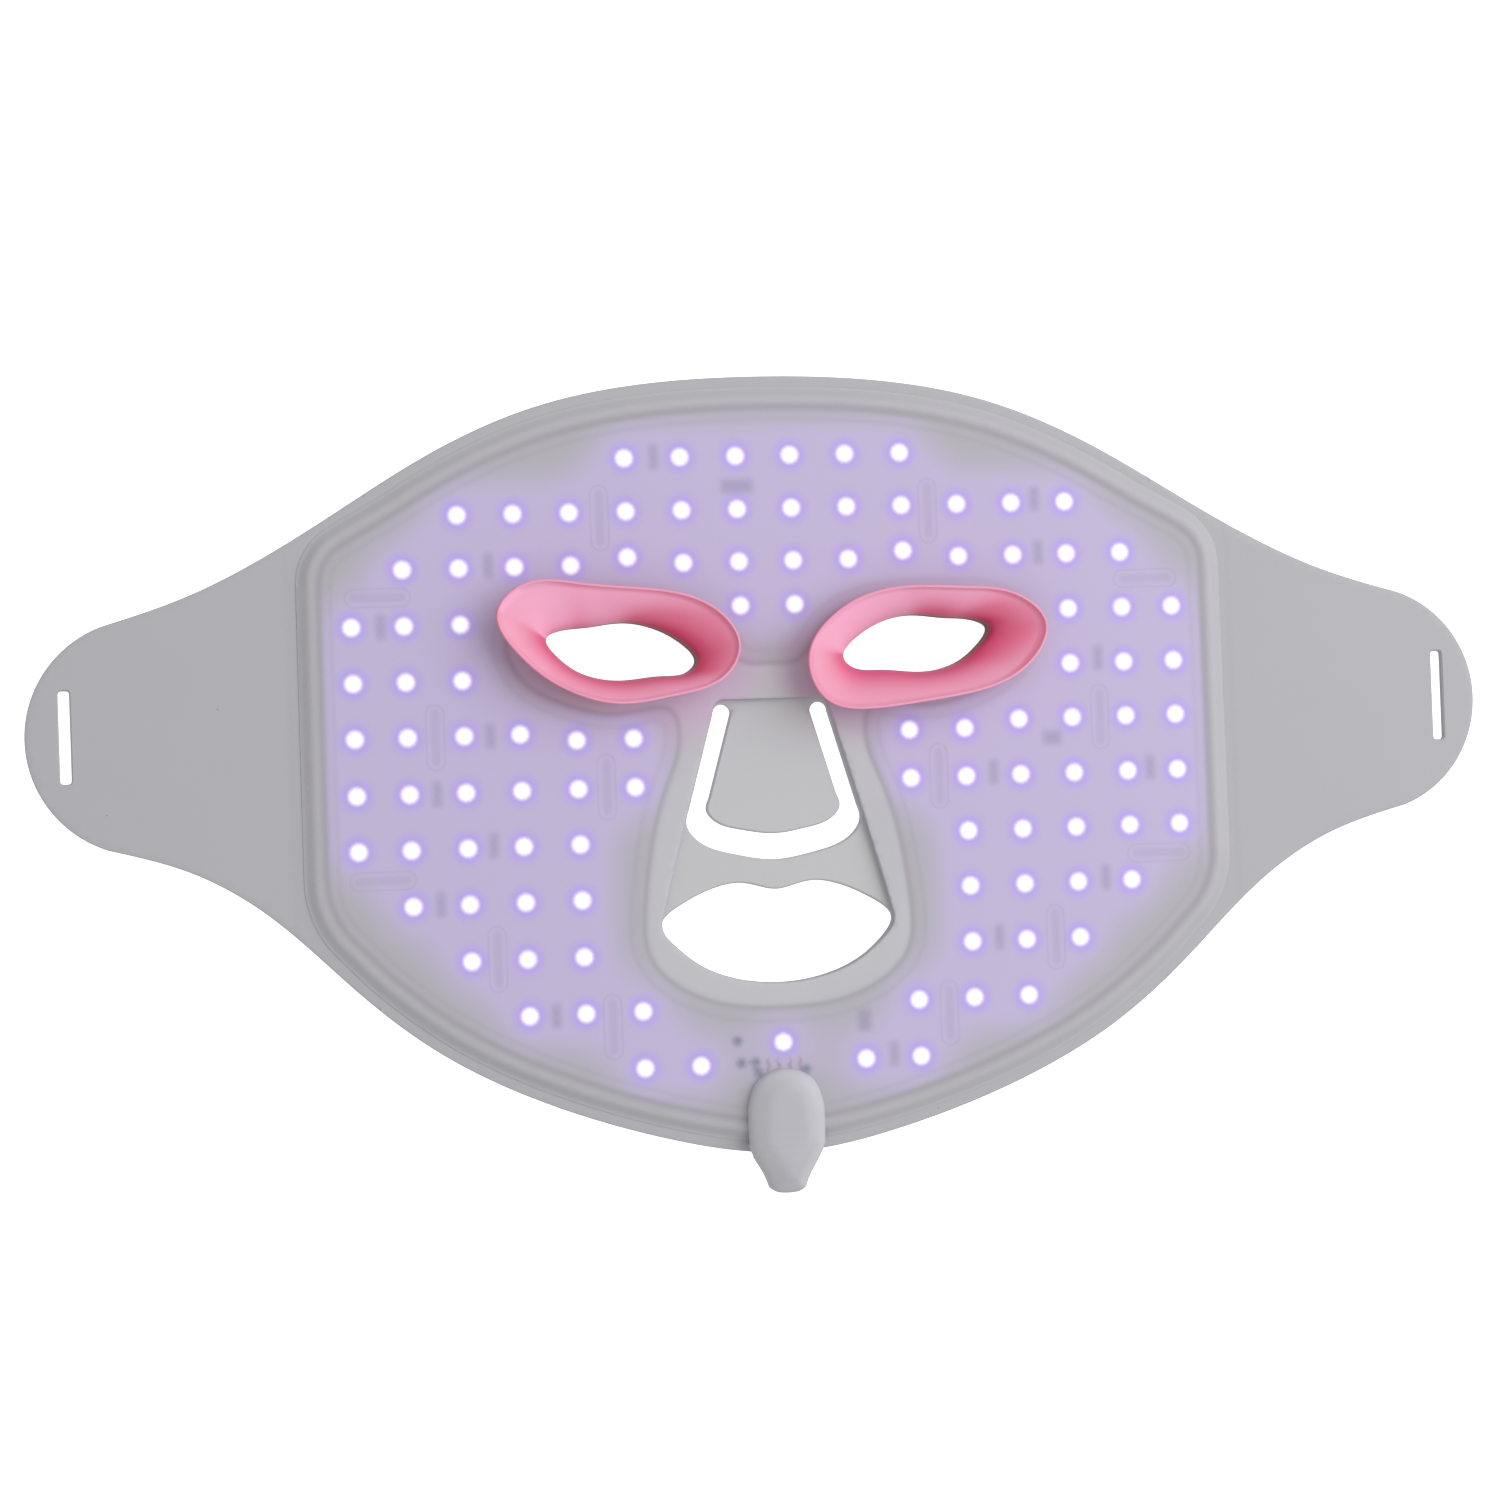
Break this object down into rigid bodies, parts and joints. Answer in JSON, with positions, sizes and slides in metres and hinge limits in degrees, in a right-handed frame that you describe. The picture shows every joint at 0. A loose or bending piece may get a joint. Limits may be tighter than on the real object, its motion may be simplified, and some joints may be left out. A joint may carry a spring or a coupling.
{
  "type": "light therapy face mask",
  "caption": "Flexible full-face light therapy mask with lamp dots under a soft cover, side strap wings, nose flap, mouth opening and raised eye cups.",
  "frame": {"origin": "centre of the outline on the outer face, on which the mask lies", "axes": "+Z out of the lamp face towards the wearer, +Y towards the forehead, +X along the width to the viewer's right; left nodes are at -X"},
  "size_m": [0.38, 0.2112, 0.014],
  "materials": {
    "sheet_silicone": "matt translucent grey moulded silicone",
    "cover_silicone": "matt translucent silicone lit violet from inside",
    "cup_silicone": "soft satin pink silicone",
    "boot_silicone": "translucent white moulded silicone",
    "board_film": "thin white flexible circuit film",
    "lamp": "lit lamp window",
    "chip": "moulded black component",
    "solder": "dull solder",
    "clamp": "hard white clamp ring",
    "wire_dark": "dark blue lead",
    "wire_red": "red lead",
    "wire_violet": "violet lead",
    "wire_teal": "teal lead"
  },
  "bodies": {
    "centre": {"back_sheet": "sheet_silicone", "face_cover": "cover_silicone", "flex_board": "board_film", "left_lamps_1": "lamp", "left_lamps_2": "lamp", "left_lamps_3": "lamp", "left_lamps_4": "lamp", "left_lamps_5": "lamp", "left_lamps_6": "lamp", "right_lamps_1": "lamp", "right_lamps_2": "lamp", "right_lamps_3": "lamp", "right_lamps_4": "lamp", "right_lamps_5": "lamp", "right_lamps_6": "lamp", "chin_lamp": "lamp", "left_resistors": "chip", "right_resistors": "chip", "forehead_chip": "chip", "driver_chip": "chip", "chin_diode": "chip", "solder_pads": "solder", "cord_boot": "boot_silicone", "cord_clamp_ring": "clamp", "ground_wire": "wire_dark", "red_light_wire": "wire_red", "near_infrared_wire": "wire_violet", "sense_wire": "wire_teal"},
    "left_side": {"left_back_sheet": "sheet_silicone", "left_face_cover": "cover_silicone", "left_flex_board": "board_film", "left_lamps_7": "lamp", "left_lamps_8": "lamp", "left_side_resistors": "chip"},
    "right_side": {"right_back_sheet": "sheet_silicone", "right_face_cover": "cover_silicone", "right_flex_board": "board_film", "right_lamps_7": "lamp", "right_lamps_8": "lamp", "right_side_resistors": "chip"},
    "left_wing": {"left_wing": "sheet_silicone"},
    "right_wing": {"right_wing": "sheet_silicone"},
    "nose_flap": {"nose_flap": "sheet_silicone"},
    "left_eye_cup": {"left_eye_cup": "cup_silicone"},
    "right_eye_cup": {"right_eye_cup": "cup_silicone"}
  },
  "joints": [
    {"name": "left_side_bend", "type": "hinge", "parent": "centre", "child": "left_side", "pos_m": [-0.0836, 0, 0.0042], "axis": [0, 1, 0], "range_deg": [0, 35], "stiffness_Nm_per_rad": 0.05},
    {"name": "left_wing_bend", "type": "hinge", "parent": "left_side", "child": "left_wing", "pos_m": [-0.1225, 0.017, 0.002], "axis": [0, 1, 0], "range_deg": [-20, 80], "stiffness_Nm_per_rad": 0.01},
    {"name": "right_side_bend", "type": "hinge", "parent": "centre", "child": "right_side", "pos_m": [0.0836, 0, 0.0042], "axis": [0, -1, 0], "range_deg": [0, 35], "stiffness_Nm_per_rad": 0.05},
    {"name": "right_wing_bend", "type": "hinge", "parent": "right_side", "child": "right_wing", "pos_m": [0.1225, 0.017, 0.002], "axis": [0, -1, 0], "range_deg": [-20, 80], "stiffness_Nm_per_rad": 0.01},
    {"name": "nose_flap_bend", "type": "hinge", "parent": "centre", "child": "nose_flap", "pos_m": [0, 0.0208, 0.001], "axis": [1, 0, 0], "range_deg": [-60, 60], "stiffness_Nm_per_rad": 0.002},
    {"name": "left_eye_cup_pull", "type": "slide", "parent": "centre", "child": "left_eye_cup", "axis": [0, 0, 1], "range_m": [0, 0.02]},
    {"name": "right_eye_cup_pull", "type": "slide", "parent": "centre", "child": "right_eye_cup", "axis": [0, 0, 1], "range_m": [0, 0.02]}
  ]
}
